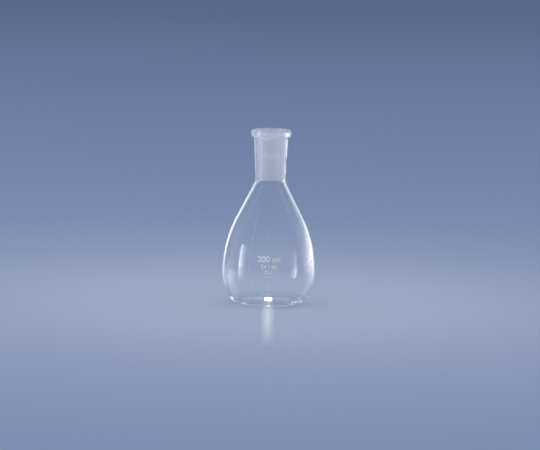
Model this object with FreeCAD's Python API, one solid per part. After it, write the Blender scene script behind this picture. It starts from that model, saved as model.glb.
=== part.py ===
# Recovery flask: a clear pear-shaped bulb with a flat base and a ground socket neck.
# Millimetres, +Z up, the origin is the centre of the base, on the plane that the flask stands on.

import FreeCAD, Part
import math
import os

# Whole flask
total_height = 138.0
body_diameter = 74.2
wall = 1.9

# Ground socket 24/40: bore at the mouth, ground length, change of diameter per length
socket_bore = 24.0
ground_length = 40.0
socket_taper = 0.1
mouth_chamfer = 0.6

# Bead round the mouth: how far it stands out from the neck, its height and its roundings
bead_reach = 1.9
bead_height = 6.4
bead_top_radius = 2.3
bead_under_radius = 2.4
bead_cove_radius = 1.0

# Throat: plain neck between the ground zone and the corner, and the blend of that corner
plain_neck = 0.4
throat_radius = 8.0

# Bulb: the shoulder leans in more than a straight line from the belly to the throat does.
# At 1 the shoulder would be that line, and at 2 the side would be one arc all the way.
belly_height = 25.0
shoulder_fullness = 1.43
lower_side_radius = 36.0

# Base
heel_radius = 7.2
inner_heel_radius = 8.0
foot_width = 1.5
base_thickness = 2.8
base_rise = 1.0


def at(centre, radius, angle):
    """Point of a circle in the section, as radius from the axis and height."""
    return (centre[0] + radius * math.cos(angle), centre[1] + radius * math.sin(angle))


def space(point):
    return FreeCAD.Vector(point[0], 0, point[1])


def line(start, end):
    return Part.LineSegment(space(start), space(end)).toShape()


def arc(centre, radius, start, end):
    points = [space(at(centre, radius, angle)) for angle in (start, (start + end) / 2, end)]
    return Part.Arc(*points).toShape()


def direction(start, end):
    return math.atan2(end[1] - start[1], end[0] - start[0])


# Neck: its side leans out by half the socket's taper on the way up
slope = socket_taper / 2
neck_lean = math.atan(slope)
facing_neck = math.pi - neck_lean
neck_mouth = (socket_bore / 2 + wall / math.cos(neck_lean), total_height)

# Side of the bulb: an arc that leaves the belly upright and runs out into a straight shoulder
belly_radius = body_diameter / 2
throat_depth = ground_length + plain_neck
corner = (neck_mouth[0] - slope * throat_depth, total_height - throat_depth)
inward = belly_radius - corner[0]
upward = corner[1] - belly_height
shoulder_lean = shoulder_fullness * math.atan2(inward, upward)
side_radius = (upward * math.sin(shoulder_lean) - inward * math.cos(shoulder_lean)) / (
    1 - math.cos(shoulder_lean)
)
side_centre = (belly_radius - side_radius, belly_height)


def throat_centre(reach):
    """Point this far from both the neck's and the shoulder's outside, inward if it is negative."""
    half = (shoulder_lean + neck_lean) / 2
    return at(corner, reach / math.cos(half), shoulder_lean - half)


def lower_side(level, side_reach, corner_radius):
    """Centre of the arc between the floor at this level and the lower side, and its turn."""
    centre = (belly_radius - lower_side_radius, belly_height)
    height = level + corner_radius
    gap = math.sqrt((side_reach - corner_radius) ** 2 - (belly_height - height) ** 2)
    heel = (centre[0] + gap, height)
    turn = direction(centre, heel)
    curves = [
        arc(heel, corner_radius, -math.pi / 2, turn),
        arc(centre, side_reach, turn, 0),
    ]
    return heel[0], curves


# Outside, from the middle of the base up to the neck
foot_outer, outer_lower_side = lower_side(0.0, lower_side_radius, heel_radius)
foot_inner = foot_outer - foot_width
dome_radius = (foot_inner ** 2 + base_rise ** 2) / (2 * base_rise)
dome = (0.0, base_rise - dome_radius)
throat = throat_centre(throat_radius)
outside = [
    arc(dome, dome_radius, math.pi / 2, direction(dome, (foot_inner, 0.0))),
    line((foot_inner, 0.0), (foot_outer, 0.0)),
    *outer_lower_side,
    arc(side_centre, side_radius, 0, shoulder_lean),
    line(
        at(side_centre, side_radius, shoulder_lean),
        at(throat, throat_radius, shoulder_lean + math.pi),
    ),
    arc(throat, throat_radius, shoulder_lean + math.pi, facing_neck),
]

# Bead: two roundings and a short upright side, with a cove where it meets the neck
bead_radius = neck_mouth[0] + bead_reach
bead_top = (bead_radius - bead_top_radius, total_height - bead_top_radius)
bead_under = (bead_radius - bead_under_radius, total_height - bead_height + bead_under_radius)
beyond_neck = (bead_under[0] - neck_mouth[0]) * math.cos(neck_lean) - (
    bead_under[1] - total_height
) * math.sin(neck_lean)
cove_turn = neck_lean + math.acos(
    (bead_cove_radius - beyond_neck) / (bead_cove_radius + bead_under_radius)
)
cove = at(bead_under, bead_cove_radius + bead_under_radius, -cove_turn)
bead = [
    line(at(throat, throat_radius, facing_neck), at(cove, bead_cove_radius, facing_neck)),
    arc(cove, bead_cove_radius, facing_neck, math.pi - cove_turn),
    arc(bead_under, bead_under_radius, -cove_turn, 0),
    line((bead_radius, bead_under[1]), (bead_radius, bead_top[1])),
    arc(bead_top, bead_top_radius, 0, math.pi / 2),
]

# Mouth and ground cone
cone_top = (socket_bore / 2 - slope * mouth_chamfer, total_height - mouth_chamfer)
cone_end = (socket_bore / 2 - slope * ground_length, total_height - ground_length)
chamfer_top = (socket_bore / 2 + mouth_chamfer, total_height)
mouth = [
    line((bead_top[0], total_height), chamfer_top),
    line(chamfer_top, cone_top),
    line(cone_top, cone_end),
]

# Inside: the blend at the throat leaves the ground cone at its end
inner_corner = throat_centre(-wall)
half_turn = (shoulder_lean + neck_lean) / 2
inner_throat_radius = math.dist(cone_end, inner_corner) / math.tan(half_turn)
inner_throat = throat_centre(inner_throat_radius - wall)
floor_edge, inner_lower_side = lower_side(
    base_thickness, lower_side_radius - wall, inner_heel_radius
)
inner_side = side_radius - wall
inside = [
    arc(inner_throat, inner_throat_radius, facing_neck, shoulder_lean + math.pi),
    line(
        at(inner_throat, inner_throat_radius, shoulder_lean + math.pi),
        at(side_centre, inner_side, shoulder_lean),
    ),
    arc(side_centre, inner_side, shoulder_lean, 0),
    *inner_lower_side,
    line((floor_edge, base_thickness), (0.0, base_thickness)),
]

# One blown piece, turned from the section
axis = line((0.0, base_rise), (0.0, base_thickness))
edges = Part.__sortEdges__(outside + bead + mouth + inside + [axis])
flask = Part.Face(Part.Wire(edges)).revolve(FreeCAD.Vector(0, 0, 0), FreeCAD.Vector(0, 0, 1), 360)

os.makedirs("parts", exist_ok=True)
flask.exportStep("parts/flask.step")
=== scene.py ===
"""Looks of the recovery flask: clear blown glass, a ground socket in the neck and white print."""

import math

import bmesh
import bpy
from mathutils import Matrix, Vector

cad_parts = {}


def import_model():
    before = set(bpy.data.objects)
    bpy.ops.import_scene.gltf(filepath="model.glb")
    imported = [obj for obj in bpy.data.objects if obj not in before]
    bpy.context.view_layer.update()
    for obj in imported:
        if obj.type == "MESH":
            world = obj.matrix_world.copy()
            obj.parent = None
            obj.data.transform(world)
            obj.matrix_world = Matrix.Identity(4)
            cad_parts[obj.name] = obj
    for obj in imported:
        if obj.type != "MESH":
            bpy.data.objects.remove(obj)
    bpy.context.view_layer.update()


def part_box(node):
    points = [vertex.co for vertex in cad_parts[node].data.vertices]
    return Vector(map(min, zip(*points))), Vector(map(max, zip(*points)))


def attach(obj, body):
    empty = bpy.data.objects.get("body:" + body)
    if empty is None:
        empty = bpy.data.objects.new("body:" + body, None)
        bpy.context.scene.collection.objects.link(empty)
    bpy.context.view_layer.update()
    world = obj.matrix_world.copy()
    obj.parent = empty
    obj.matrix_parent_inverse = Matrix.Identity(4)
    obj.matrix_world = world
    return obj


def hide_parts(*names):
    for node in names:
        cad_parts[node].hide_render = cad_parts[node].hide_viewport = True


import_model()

MM = 0.001

# Sizes of the flask, read from the frame where the frame gives them
flask_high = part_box("flask")[1]
TOTAL_HEIGHT = flask_high.z
BELLY_RADIUS = flask_high.x
WALL = 1.9 * MM
SOCKET_RADIUS = 12.0 * MM
GROUND_LENGTH = 40.0 * MM
NECK_SLOPE = 0.05
MOUTH_ROUNDING = 0.7 * MM
BEAD_REACH = 1.9 * MM
BEAD_HEIGHT = 6.4 * MM
BEAD_TOP_RADIUS = 2.3 * MM
BEAD_UNDER_RADIUS = 2.4 * MM
BEAD_COVE_RADIUS = 1.0 * MM
PLAIN_NECK = 0.4 * MM
THROAT_RADIUS = 8.0 * MM
BELLY_HEIGHT = 25.0 * MM
SHOULDER_FULLNESS = 1.43
LOWER_SIDE_RADIUS = 36.0 * MM
HEEL_RADIUS = 7.2 * MM
INNER_HEEL_RADIUS = 8.0 * MM
FOOT_WIDTH = 1.5 * MM
BASE_THICKNESS = 2.8 * MM
BASE_RISE = 1.0 * MM

# Steps of each stretch of the section, and of the turn round the axis
DOME_STEPS = 24
FOOT_STEPS = 2
HEEL_STEPS = 16
LOWER_SIDE_STEPS = 18
SIDE_STEPS = 40
SHOULDER_STEPS = 16
THROAT_STEPS = 12
NECK_STEPS = 16
COVE_STEPS = 6
BEAD_STEPS = 8
LIP_STEPS = 5
SOCKET_STEPS = 24
INNER_THROAT_STEPS = 8
FLOOR_STEPS = 12
TURNS = 192
MERGE_DISTANCE = 0.005 * MM


# Section of the glass


def at(centre, radius, angle):
    """Point of a circle in the section, as radius from the axis and height."""
    return (centre[0] + radius * math.cos(angle), centre[1] + radius * math.sin(angle))


def direction(start, end):
    return math.atan2(end[1] - start[1], end[0] - start[0])


neck_lean = math.atan(NECK_SLOPE)
facing_neck = math.pi - neck_lean
neck_mouth = SOCKET_RADIUS + WALL / math.cos(neck_lean)
throat_depth = GROUND_LENGTH + PLAIN_NECK
corner = (neck_mouth - NECK_SLOPE * throat_depth, TOTAL_HEIGHT - throat_depth)
inward = BELLY_RADIUS - corner[0]
upward = corner[1] - BELLY_HEIGHT
shoulder_lean = SHOULDER_FULLNESS * math.atan2(inward, upward)
half_turn = (shoulder_lean + neck_lean) / 2
side_radius = (upward * math.sin(shoulder_lean) - inward * math.cos(shoulder_lean)) / (
    1 - math.cos(shoulder_lean)
)
side_centre = (BELLY_RADIUS - side_radius, BELLY_HEIGHT)
lower_centre = (BELLY_RADIUS - LOWER_SIDE_RADIUS, BELLY_HEIGHT)
ground_end = (SOCKET_RADIUS - NECK_SLOPE * GROUND_LENGTH, TOTAL_HEIGHT - GROUND_LENGTH)


def throat_centre(reach):
    """Point this far from both the neck's and the shoulder's outside, inward if negative."""
    return at(corner, reach / math.cos(half_turn), shoulder_lean - half_turn)


def heel_centre(level, side_reach, radius):
    """Centre of the rounding between the floor at this level and the lower side."""
    height = level + radius
    gap = math.sqrt((side_reach - radius) ** 2 - (BELLY_HEIGHT - height) ** 2)
    return (lower_centre[0] + gap, height)


class Section:
    """A line of vertices drawn in the plane of radius and height, with arcs made by spin."""

    def __init__(self, mesh, start):
        self.mesh = mesh
        self.end = mesh.verts.new((start[0], 0, start[1]))

    def line(self, point, steps=1):
        for left in range(steps, 0, -1):
            share = 1 / left
            step = (Vector((point[0], 0, point[1])) - self.end.co) * share
            made = bmesh.ops.extrude_vert_indiv(self.mesh, verts=[self.end])
            self.end = made["verts"][0]
            bmesh.ops.translate(self.mesh, verts=[self.end], vec=step)

    def arc(self, centre, start, end, steps):
        made = bmesh.ops.spin(
            self.mesh, geom=[self.end], cent=(centre[0], 0, centre[1]), axis=(0, -1, 0),
            angle=end - start, steps=steps, use_merge=False,
        )
        last = made["geom_last"]
        self.end = [item for item in last if isinstance(item, bmesh.types.BMVert)][0]


def draw_base_and_side(section):
    """Outside from the middle of the base up to the foot of the neck."""
    heel = heel_centre(0, LOWER_SIDE_RADIUS, HEEL_RADIUS)
    foot_inner = heel[0] - FOOT_WIDTH
    dome_radius = (foot_inner ** 2 + BASE_RISE ** 2) / (2 * BASE_RISE)
    dome = (0, BASE_RISE - dome_radius)
    heel_turn = direction(lower_centre, heel)
    throat = throat_centre(THROAT_RADIUS)
    section.arc(dome, math.pi / 2, direction(dome, (foot_inner, 0)), DOME_STEPS)
    section.line((heel[0], 0), FOOT_STEPS)
    section.arc(heel, -math.pi / 2, heel_turn, HEEL_STEPS)
    section.arc(lower_centre, heel_turn, 0, LOWER_SIDE_STEPS)
    section.arc(side_centre, 0, shoulder_lean, SIDE_STEPS)
    section.line(at(throat, THROAT_RADIUS, shoulder_lean + math.pi), SHOULDER_STEPS)
    section.arc(throat, shoulder_lean + math.pi, facing_neck, THROAT_STEPS)


def draw_neck_and_bead(section):
    """Outside of the neck, the cove and the bead, up to the flat of the mouth."""
    bead_radius = neck_mouth + BEAD_REACH
    bead_top = (bead_radius - BEAD_TOP_RADIUS, TOTAL_HEIGHT - BEAD_TOP_RADIUS)
    bead_under = (
        bead_radius - BEAD_UNDER_RADIUS,
        TOTAL_HEIGHT - BEAD_HEIGHT + BEAD_UNDER_RADIUS,
    )
    beyond_mouth = bead_under[0] - neck_mouth
    below_mouth = bead_under[1] - TOTAL_HEIGHT
    beyond_neck = beyond_mouth * math.cos(neck_lean) - below_mouth * math.sin(neck_lean)
    cove_reach = BEAD_COVE_RADIUS + BEAD_UNDER_RADIUS
    cove_turn = neck_lean + math.acos((BEAD_COVE_RADIUS - beyond_neck) / cove_reach)
    cove = at(bead_under, cove_reach, -cove_turn)
    section.line(at(cove, BEAD_COVE_RADIUS, facing_neck), NECK_STEPS)
    section.arc(cove, facing_neck, math.pi - cove_turn, COVE_STEPS)
    section.arc(bead_under, -cove_turn, 0, BEAD_STEPS)
    section.line((bead_radius, bead_top[1]))
    section.arc(bead_top, 0, math.pi / 2, BEAD_STEPS)


def draw_inside(section):
    """Rounded edge of the mouth, the ground cone and the cavity, down to the floor's middle."""
    lip = (
        SOCKET_RADIUS - NECK_SLOPE * MOUTH_ROUNDING + MOUTH_ROUNDING / math.cos(neck_lean),
        TOTAL_HEIGHT - MOUTH_ROUNDING,
    )
    inner_corner = throat_centre(-WALL)
    inner_throat_radius = math.dist(ground_end, inner_corner) / math.tan(half_turn)
    inner_throat = throat_centre(inner_throat_radius - WALL)
    inner_heel = heel_centre(BASE_THICKNESS, LOWER_SIDE_RADIUS - WALL, INNER_HEEL_RADIUS)
    inner_turn = direction(lower_centre, inner_heel)
    section.line((lip[0], TOTAL_HEIGHT))
    section.arc(lip, math.pi / 2, facing_neck, LIP_STEPS)
    section.line(ground_end, SOCKET_STEPS)
    section.arc(inner_throat, facing_neck, shoulder_lean + math.pi, INNER_THROAT_STEPS)
    section.line(at(side_centre, side_radius - WALL, shoulder_lean), SHOULDER_STEPS)
    section.arc(side_centre, shoulder_lean, 0, SIDE_STEPS)
    section.arc(lower_centre, 0, inner_turn, LOWER_SIDE_STEPS)
    section.arc(inner_heel, inner_turn, -math.pi / 2, HEEL_STEPS)
    section.line((0, BASE_THICKNESS), FLOOR_STEPS)


# Nodes


def material(name):
    made = bpy.data.materials.new(name)
    made.use_nodes = True
    tree = made.node_tree
    return made, tree, tree.nodes["Principled BSDF"]


def node(tree, kind, **settings):
    made = tree.nodes.new(kind)
    for key, value in settings.items():
        setattr(made, key, value)
    return made


def plug(tree, value, socket):
    """Links another node's output to the socket, or sets a constant on it."""
    if isinstance(value, bpy.types.NodeSocket):
        tree.links.new(value, socket)
    else:
        socket.default_value = value


def combine(tree, operation, *values):
    made = node(tree, "ShaderNodeMath", operation=operation)
    for value, socket in zip(values, made.inputs):
        plug(tree, value, socket)
    return made.outputs["Value"]


def mix_colours(tree, factor, first, second):
    made = node(tree, "ShaderNodeMix", data_type="RGBA")
    plug(tree, factor, made.inputs["Factor"])
    plug(tree, first, made.inputs["A"])
    plug(tree, second, made.inputs["B"])
    return made.outputs["Result"]


def show_mixed(tree, factor, first, second, output):
    """Sends a mix of two shaders to the output node of this name."""
    made = node(tree, "ShaderNodeMixShader")
    plug(tree, factor, made.inputs["Fac"])
    tree.links.new(first, made.inputs[1])
    tree.links.new(second, made.inputs[2])
    tree.links.new(made.outputs["Shader"], tree.nodes[output].inputs["Surface"])


def span(tree, source, old_range, new_range):
    made = node(tree, "ShaderNodeMapRange")
    names = ("From Min", "From Max", "To Min", "To Max")
    for name, value in zip(names, (*old_range, *new_range)):
        made.inputs[name].default_value = value
    tree.links.new(source, made.inputs["Value"])
    return made.outputs["Result"]


def place_on_piece(tree):
    return node(tree, "ShaderNodeTexCoord").outputs["Object"]


def sides_of(tree, vector):
    split = node(tree, "ShaderNodeSeparateXYZ")
    tree.links.new(vector, split.inputs[0])
    return split.outputs


def noise(tree, scale, detail, stretch=(1, 1, 1)):
    """Noise that sits on the piece, as many bumps per metre as the scale says."""
    mapping = node(tree, "ShaderNodeMapping")
    mapping.inputs["Scale"].default_value = stretch
    texture = node(tree, "ShaderNodeTexNoise")
    texture.inputs["Scale"].default_value = scale
    texture.inputs["Detail"].default_value = detail
    tree.links.new(place_on_piece(tree), mapping.inputs["Vector"])
    tree.links.new(mapping.outputs["Vector"], texture.inputs["Vector"])
    return texture.outputs["Fac"]


def bump(tree, source, shader, strength, distance):
    made = node(tree, "ShaderNodeBump")
    made.inputs["Strength"].default_value = strength
    made.inputs["Distance"].default_value = distance
    tree.links.new(source, made.inputs["Height"])
    tree.links.new(made.outputs["Normal"], shader.inputs["Normal"])


# Finishes

GLASS_IOR = 1.473
GLASS_TINT = (0.997, 1.0, 0.999, 1)
GLASS_SHADOW = (0.98, 0.984, 0.988, 1)
GLASS_HAZE = (0.0, 0.02)
HAZE_LEVELS = (0.35, 0.75)
GROUND_TINT = (0.915, 0.955, 1.0, 1)
GROUND_SHADOW = (0.8, 0.83, 0.85, 1)
GROUND_ROUGHNESS = (0.34, 0.5)
GRAIN_LEVELS = (0.3, 0.7)
GROUND_SLOT = 1

# Behind the bead the ground finish is finer, over this height, and changes over this step
FINER_HEIGHT = 6.0 * MM
FINER_STEP = 0.6 * MM
FINER_ROUGHNESS = 0.4
GROUND_CLEARNESS = 0.76
FINER_CLEARNESS = 0.74

ENAMEL_DARK = (0.9, 0.92, 0.94, 1)
ENAMEL_PALE = (0.98, 0.98, 0.98, 1)
ENAMEL_ROUGHNESS = 0.35


def pass_light(tree, shader, tint):
    """Lets the lamps' light straight through, as thin glass does, for a pale shadow."""
    seen = node(tree, "ShaderNodeLightPath")
    clear = node(tree, "ShaderNodeBsdfTransparent")
    clear.inputs["Color"].default_value = tint
    show_mixed(
        tree, seen.outputs["Is Shadow Ray"], shader.outputs["BSDF"], clear.outputs["BSDF"],
        "Material Output",
    )


def clear_glass():
    """Blown glass, with a faint haze and slow waves."""
    made, tree, shader = material("clear_glass")
    shader.inputs["Base Color"].default_value = GLASS_TINT
    shader.inputs["Transmission Weight"].default_value = 1.0
    shader.inputs["IOR"].default_value = GLASS_IOR
    haze = noise(tree, scale=90, detail=3.0)
    roughness = span(tree, haze, HAZE_LEVELS, GLASS_HAZE)
    tree.links.new(roughness, shader.inputs["Roughness"])
    waves = noise(tree, scale=38, detail=1.0, stretch=(1, 1, 0.5))
    bump(tree, waves, shader, strength=0.1, distance=0.2 * MM)
    pass_light(tree, shader, GLASS_SHADOW)
    return made


def ground_glass():
    """Inside of the socket, ground white with fine emery."""
    made, tree, shader = material("ground_glass")
    shader.inputs["Base Color"].default_value = GROUND_TINT
    shader.inputs["IOR"].default_value = GLASS_IOR
    grain = noise(tree, scale=1500, detail=2.0, stretch=(1, 1, 2.5))
    height = sides_of(tree, place_on_piece(tree))["Z"]
    change = TOTAL_HEIGHT - FINER_HEIGHT
    levels = (change, change + FINER_STEP)
    clearness = span(tree, height, levels, (GROUND_CLEARNESS, FINER_CLEARNESS))
    tree.links.new(clearness, shader.inputs["Transmission Weight"])
    coarse = span(tree, grain, GRAIN_LEVELS, GROUND_ROUGHNESS)
    finer = span(tree, height, levels, (1.0, FINER_ROUGHNESS))
    tree.links.new(combine(tree, "MULTIPLY", coarse, finer), shader.inputs["Roughness"])
    bump(tree, grain, shader, strength=0.3, distance=0.05 * MM)
    pass_light(tree, shader, GROUND_SHADOW)
    return made


def white_enamel():
    made, tree, shader = material("white_enamel")
    shader.inputs["Roughness"].default_value = ENAMEL_ROUGHNESS
    grain = noise(tree, scale=900, detail=2.0)
    tint = mix_colours(tree, grain, ENAMEL_DARK, ENAMEL_PALE)
    tree.links.new(tint, shader.inputs["Base Color"])
    return made


# Glass


def finish_piece(mesh, name, materials):
    data = bpy.data.meshes.new(name)
    mesh.to_mesh(data)
    mesh.free()
    for made in materials:
        data.materials.append(made)
    piece = bpy.data.objects.new(name, data)
    bpy.context.scene.collection.objects.link(piece)
    return piece


def blow_flask():
    mesh = bmesh.new()
    section = Section(mesh, (0, BASE_RISE))
    draw_base_and_side(section)
    draw_neck_and_bead(section)
    draw_inside(section)
    bmesh.ops.spin(
        mesh, geom=mesh.verts[:] + mesh.edges[:], cent=(0, 0, 0), axis=(0, 0, 1),
        angle=2 * math.pi, steps=TURNS, use_merge=True,
    )
    bmesh.ops.remove_doubles(mesh, verts=mesh.verts, dist=MERGE_DISTANCE)
    bmesh.ops.recalc_face_normals(mesh, faces=mesh.faces)
    for face in mesh.faces:
        face.smooth = True
        middle = face.calc_center_median()
        reach = math.hypot(middle.x, middle.y)
        in_socket = ground_end[1] < middle.z < TOTAL_HEIGHT - MOUTH_ROUNDING
        bore = SOCKET_RADIUS - NECK_SLOPE * (TOTAL_HEIGHT - middle.z)
        if in_socket and reach < bore + WALL / 4:
            face.material_index = GROUND_SLOT
    return finish_piece(mesh, "flask_glass", [clear_glass(), ground_glass()])


flask = blow_flask()
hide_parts("flask")
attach(flask, "root")


# Print: width and height of the middle above the base, in millimetres

WORDS = (
    ("neck_print", "24/40", 12.4, 117.4),
    ("capacity_print", "200 ml", 17.4, 39.2),
    ("joint_print", "24 / 40", 12.2, 33.2),
    ("temperature_print", "20 °C", 6.4, 29.9),
)
BARS = (("upper_bar", 6.3, 28.0), ("lower_bar", 6.3, 25.4))
BAR_THICKNESS = 0.4 * MM
BAR_STEPS = 24
CUTS_EACH_WAY = 20
CUT_SPACING = 0.7 * MM
PRINT_LIFT = 0.015 * MM


def print_text(name, words, width, height, enamel):
    """Words of this width, wrapped on the front of the glass."""
    curve = bpy.data.curves.new(name, "FONT")
    curve.body = words
    curve.align_x = "CENTER"
    curve.align_y = "CENTER"
    drawn = bpy.data.objects.new(name + "_drawn", curve)
    bpy.context.scene.collection.objects.link(drawn)
    bpy.context.view_layer.update()
    data = bpy.data.meshes.new_from_object(drawn)
    bpy.data.objects.remove(drawn)
    mesh = bmesh.new()
    mesh.from_mesh(data)
    across = [vert.co.x for vert in mesh.verts]
    up = [vert.co.y for vert in mesh.verts]
    size = width / (max(across) - min(across))
    middle = Vector(((min(across) + max(across)) / 2, (min(up) + max(up)) / 2, 0))
    bmesh.ops.translate(mesh, verts=mesh.verts, vec=-middle)
    bmesh.ops.scale(mesh, verts=mesh.verts, vec=(size, size, size))
    wrap_print(mesh, name, height, enamel)


def print_bar(name, width, height, enamel):
    mesh = bmesh.new()
    bmesh.ops.create_grid(mesh, x_segments=BAR_STEPS, y_segments=1, size=0.5)
    bmesh.ops.scale(mesh, verts=mesh.verts, vec=(width, BAR_THICKNESS, 1))
    wrap_print(mesh, name, height, enamel)


def wrap_print(mesh, name, height, enamel):
    """Stands the flat print up in front of the flask and presses it on the glass."""
    for cut in range(-CUTS_EACH_WAY, CUTS_EACH_WAY + 1):
        bmesh.ops.bisect_plane(
            mesh, geom=mesh.verts[:] + mesh.edges[:] + mesh.faces[:],
            plane_co=(cut * CUT_SPACING, 0, 0), plane_no=(1, 0, 0),
        )
    upright = Matrix.Rotation(math.pi / 2, 3, "X")
    bmesh.ops.rotate(mesh, verts=mesh.verts, cent=(0, 0, 0), matrix=upright)
    bmesh.ops.translate(mesh, verts=mesh.verts, vec=(0, -2 * BELLY_RADIUS, height))
    piece = finish_piece(mesh, name, [enamel])
    press = piece.modifiers.new("press", "SHRINKWRAP")
    press.target = flask
    press.wrap_method = "PROJECT"
    press.use_project_y = True
    press.use_positive_direction = True
    press.use_negative_direction = False
    press.wrap_mode = "ABOVE_SURFACE"
    press.offset = PRINT_LIFT
    bpy.context.view_layer.update()
    depsgraph = bpy.context.evaluated_depsgraph_get()
    pressed = bpy.data.meshes.new_from_object(piece.evaluated_get(depsgraph))
    piece.modifiers.clear()
    piece.data = pressed
    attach(piece, "root")


enamel = white_enamel()
for name, words, width, height in WORDS:
    print_text(name, words, width * MM, height * MM, enamel)
for name, width, height in BARS:
    print_bar(name, width * MM, height * MM, enamel)


# Floor: a blue sheet with a painted pool of light, paler round the flask, and a painted caustic
# streak in front of it

# The near colour paints a pool of light round the flask, which fades to the far colour away from
# it
FLOOR_NEAR = (0.350, 0.416, 0.560, 1)
FLOOR_FAR = (0.165, 0.230, 0.387, 1)
LIGHT_POOL_RADIUS = 330 * MM
FLOOR_RADIUS = 40000 * MM
FLOOR_EDGES = 96
FLOOR_DROP = 0.05 * MM
FLOOR_ROUGHNESS = 0.05
FLOOR_GLOSS = 0.3

# Painted caustic: a pale streak of light painted on the floor in front of the flask, in place of
# light the glass focuses there; its half width, where it starts and where it fades
PAINTED_CAUSTIC = (0.60, 0.67, 0.77, 1)
PAINTED_CAUSTIC_HALF_WIDTH = 5.6 * MM
PAINTED_CAUSTIC_START = (-24 * MM, -12 * MM)
PAINTED_CAUSTIC_FADE = (-220 * MM, -80 * MM)

# Half widths of the strip that has no gloss, where it starts to shine and where it shines in full
DULL_WIDTH = (45 * MM, 65 * MM)


def floor():
    mesh = bmesh.new()
    bmesh.ops.create_circle(mesh, cap_ends=True, segments=FLOOR_EDGES, radius=FLOOR_RADIUS)
    bmesh.ops.translate(mesh, verts=mesh.verts, vec=(0, 0, -FLOOR_DROP))
    made, tree, shader = material("floor")
    shader.inputs["Roughness"].default_value = FLOOR_ROUGHNESS
    shader.inputs["Specular IOR Level"].default_value = FLOOR_GLOSS
    place = place_on_piece(tree)
    sides = sides_of(tree, place)

    # Painted pool of light: the floor colour is paler round the flask and darker far away, in
    # place of the lamps' falloff
    squared = node(tree, "ShaderNodeVectorMath", operation="DOT_PRODUCT")
    tree.links.new(place, squared.inputs[0])
    tree.links.new(place, squared.inputs[1])
    spread = combine(
        tree, "MULTIPLY_ADD", squared.outputs["Value"], 1 / LIGHT_POOL_RADIUS ** 2, 1.0
    )
    painted_light_pool = combine(tree, "DIVIDE", 1.0, spread)
    floor_with_light_pool = mix_colours(tree, painted_light_pool, FLOOR_FAR, FLOOR_NEAR)
    tree.links.new(floor_with_light_pool, shader.inputs["Base Color"])

    aside = combine(tree, "ABSOLUTE", sides["X"])
    # Painted caustic: a pale streak of light painted into the floor's matt colour in front of the
    # flask
    across = span(tree, aside, (0.0, PAINTED_CAUSTIC_HALF_WIDTH), (1, 0))
    forward = span(tree, sides["Y"], PAINTED_CAUSTIC_START, (1, 0))
    fading = span(tree, sides["Y"], PAINTED_CAUSTIC_FADE, (0, 1))
    painted_caustic = combine(tree, "MULTIPLY", combine(tree, "MULTIPLY", across, forward), fading)
    matt = node(tree, "ShaderNodeBsdfDiffuse")
    tree.links.new(mix_colours(tree, painted_caustic, floor_with_light_pool, PAINTED_CAUSTIC), matt.inputs["Color"])

    seen = node(tree, "ShaderNodeLightPath")
    middle = span(tree, aside, DULL_WIDTH, (1, 0))
    dull = combine(tree, "MAXIMUM", middle, seen.outputs["Is Camera Ray"])
    show_mixed(tree, dull, shader.outputs["BSDF"], matt.outputs["BSDF"], "Material Output")
    finish_piece(mesh, "floor", [made])


# Lamps

LIT_HEIGHT = 50 * MM


def fade_lamp(light, crest, power, bottom, top):
    """Dims the lamp sideways from its crest, and from the bottom to the top."""
    light.use_nodes = True
    tree = light.node_tree
    spot = sides_of(tree, node(tree, "ShaderNodeNewGeometry").outputs["Parametric"])
    sideways = span(tree, spot["X"], (crest, 1), (1, 0))
    if crest > 0:
        rising = span(tree, spot["X"], (0, crest), (0, 1))
        sideways = combine(tree, "MINIMUM", rising, sideways)
    sharp = combine(tree, "POWER", sideways, power)
    upward = span(tree, spot["Y"], (0, 1), (bottom, top))
    bright = combine(tree, "MULTIPLY", sharp, upward)
    tree.links.new(bright, tree.nodes["Emission"].inputs["Strength"])


def lamp(name, turn, rise, wide, tall, radiance, distance=1.5, fade=None):
    """Softbox seen from the flask at this turn and rise, this wide and tall, all in degrees.

    Turn 0 is straight behind the flask, and turns to the right are positive. The fade names
    where across its width it is brightest, how sharply it falls off sideways, and how bright
    it is at the bottom and at the top.
    """
    light = bpy.data.lights.new(name, "AREA")
    light.shape = "RECTANGLE"
    light.size = 2 * distance * math.tan(math.radians(wide) / 2)
    light.size_y = 2 * distance * math.tan(math.radians(tall) / 2)
    light.energy = radiance * light.size * light.size_y * math.pi
    if fade:
        fade_lamp(light, **fade)
    made = bpy.data.objects.new(name, light)
    across, up = math.radians(turn), math.radians(rise)
    away = Vector(
        (math.sin(across) * math.cos(up), math.cos(across) * math.cos(up), math.sin(up))
    )
    made.location = Vector((0, 0, LIT_HEIGHT)) + distance * away
    made.rotation_euler = (-away).to_track_quat("-Z", "Y").to_euler()
    made.visible_camera = False
    bpy.context.scene.collection.objects.link(made)
    return made


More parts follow.
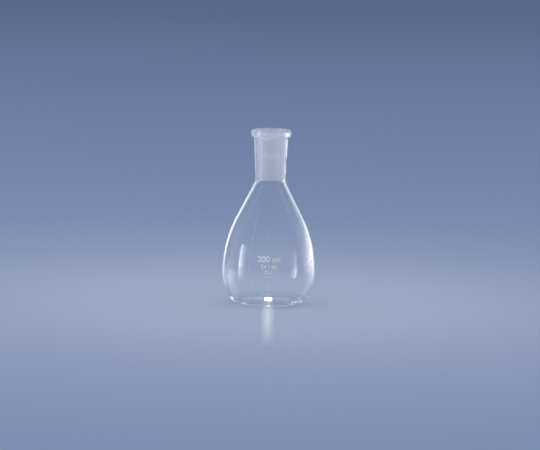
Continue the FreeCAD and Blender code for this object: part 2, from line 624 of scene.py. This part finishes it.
def lamps():
    """Lamps that draw lines in the glass light nothing matt, and the soft ones do only that."""
    right = lamp(
        "right_softbox", turn=54, rise=4, wide=74, tall=14, radiance=2.7, distance=0.9,
        fade=dict(crest=0.5, power=1.0, bottom=1.1, top=0.35),
    )
    right_high = lamp(
        "right_reflector", turn=54, rise=18, wide=74, tall=14, radiance=0.6, distance=0.9,
        fade=dict(crest=0.5, power=1.0, bottom=1.0, top=0.7),
    )
    left = lamp(
        "left_softbox", turn=-111.5, rise=7.0, wide=24, tall=17.5, radiance=11.0,
        fade=dict(crest=0.0, power=2.0, bottom=0.8, top=0.6),
    )
    strip = lamp(
        "edge_strip", turn=-27.2, rise=9, wide=15, tall=40, radiance=1.1, distance=0.9,
        fade=dict(crest=0.5, power=0.0, bottom=1.3, top=0.0),
    )
    slit = lamp(
        "back_slit", turn=0, rise=9.0, wide=0.75, tall=4.0, radiance=8.0, distance=6.0
    )
    slit.visible_glossy = False
    for made in (right, right_high, left, strip, slit):
        made.visible_diffuse = False
    key = lamp(
        "key_softbox", turn=-103, rise=35, wide=50, tall=30, radiance=3.3, distance=5.0
    )
    fill = lamp(
        "fill_softbox", turn=80, rise=35, wide=50, tall=30, radiance=1.9, distance=5.0
    )
    for made in (key, fill):
        made.visible_glossy = False
        made.visible_transmission = False


# Surroundings: a blue backdrop where it is seen, also through the glass, and a pale sky elsewhere

BACKDROP_LOW = (0.15, 0.21, 0.36, 1)
BACKDROP_HIGH = (0.36, 0.43, 0.58, 1)
BACKDROP_RISE = (0.05, 0.14)
SKY = (0.95, 0.97, 1.0, 1)
SKY_STRENGTH = 0.62


def world():
    made = bpy.data.worlds.new("studio")
    made.use_nodes = True
    tree = made.node_tree
    sky = tree.nodes["Background"]
    sky.inputs["Color"].default_value = SKY
    sky.inputs["Strength"].default_value = SKY_STRENGTH
    backdrop = node(tree, "ShaderNodeBackground")
    way = sides_of(tree, node(tree, "ShaderNodeTexCoord").outputs["Generated"])
    sweep = span(tree, way["Z"], BACKDROP_RISE, (0, 1))
    colour = mix_colours(tree, sweep, BACKDROP_LOW, BACKDROP_HIGH)
    tree.links.new(colour, backdrop.inputs["Color"])

    seen = node(tree, "ShaderNodeLightPath").outputs
    bent = combine(tree, "MAXIMUM", seen["Is Transmission Ray"], seen["Is Glossy Ray"])
    from_camera = combine(tree, "LESS_THAN", seen["Diffuse Depth"], 0.5)
    through_glass = combine(tree, "MULTIPLY", bent, from_camera)
    shown = combine(tree, "MAXIMUM", seen["Is Camera Ray"], through_glass)
    show_mixed(
        tree, shown, sky.outputs["Background"], backdrop.outputs["Background"], "World Output"
    )
    bpy.context.scene.world = made


# Camera: distance, degrees above the flask, degrees of roll, and how much it takes in across,
# as pixels times their size at the flask

CAMERA_DISTANCE = 2.0
CAMERA_RISE = 6.5
CAMERA_ROLL = 1.15
VIEW_WIDTH = 540 * 0.792 * MM
VIEW_DEPTH = 200
SENSOR_WIDTH = 36.0
AIM = Vector((0.38 * MM, 0, 62.0 * MM))


def camera():
    """Photograph's view: a long lens, a little above the flask, rolled by about a degree."""
    rise = math.radians(CAMERA_RISE)
    data = bpy.data.cameras.new("camera")
    data.sensor_width = SENSOR_WIDTH
    data.lens = data.sensor_width * CAMERA_DISTANCE / VIEW_WIDTH
    data.clip_end = VIEW_DEPTH
    made = bpy.data.objects.new("camera", data)
    made.location = AIM + CAMERA_DISTANCE * Vector((0, -math.cos(rise), math.sin(rise)))
    look = (AIM - made.location).to_track_quat("-Z", "Y").to_matrix()
    roll = Matrix.Rotation(math.radians(CAMERA_ROLL), 3, "Z")
    made.rotation_euler = (look @ roll).to_euler()
    bpy.context.scene.collection.objects.link(made)
    bpy.context.scene.camera = made


# Light is caught for many turns in the heel, which goes dark with fewer bounces
BOUNCES = 256
CLEAR_BOUNCES = 16

floor()
lamps()
world()
camera()
scene = bpy.context.scene
scene.view_settings.view_transform = "Standard"
scene.cycles.max_bounces = BOUNCES
scene.cycles.transmission_bounces = BOUNCES
scene.cycles.glossy_bounces = BOUNCES
scene.cycles.transparent_max_bounces = CLEAR_BOUNCES
